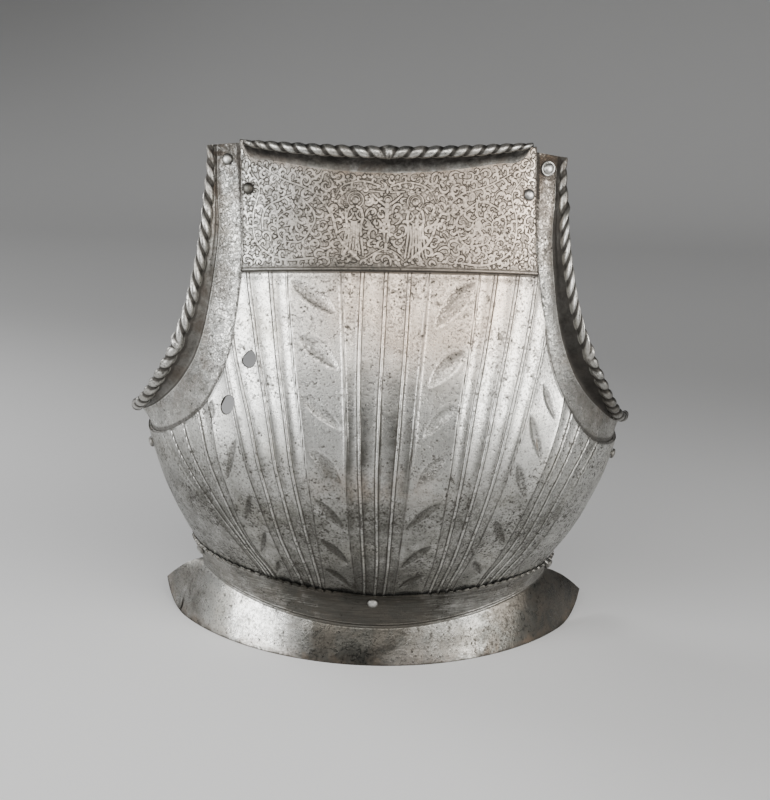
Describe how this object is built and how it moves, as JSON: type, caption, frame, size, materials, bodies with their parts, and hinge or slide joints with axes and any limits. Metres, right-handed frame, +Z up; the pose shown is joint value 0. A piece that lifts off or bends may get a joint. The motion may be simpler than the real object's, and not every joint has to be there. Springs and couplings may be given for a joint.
{
  "type": "fluted breastplate",
  "caption": "Plate armour breastplate with fluted chest, roped neck edge, riveted arm gussets and a flanged waist lame; it guards the wearer's chest.",
  "frame": {"origin": "middle of the underside of the bounding box, on the surface that the waist flange stands on", "axes": "+Z up to the neck, -Y out of the chest, +X to the viewer's right, which is the wearer's left"},
  "size_m": [0.3722, 0.155, 0.383],
  "materials": {
    "plate_steel": "old polished steel, pitted, with fine etching",
    "gusset_steel": "old polished steel with brown stains",
    "lame_steel": "darkened polished steel, pitted",
    "rivet_steel": "dark worn steel"
  },
  "bodies": {
    "root": {"breast_plate": "plate_steel", "gusset_left": "gusset_steel", "gusset_right": "gusset_steel", "waist_lame": "lame_steel", "rivet_band_left": "rivet_steel", "rivet_band_right": "rivet_steel", "rivet_gusset_top_left": "rivet_steel", "rivet_gusset_top_right": "rivet_steel", "rivet_side_left": "rivet_steel", "rivet_side_right": "rivet_steel", "rivet_waist_left": "rivet_steel", "rivet_waist_middle": "rivet_steel", "rivet_waist_right": "rivet_steel"}
  },
  "joints": []
}
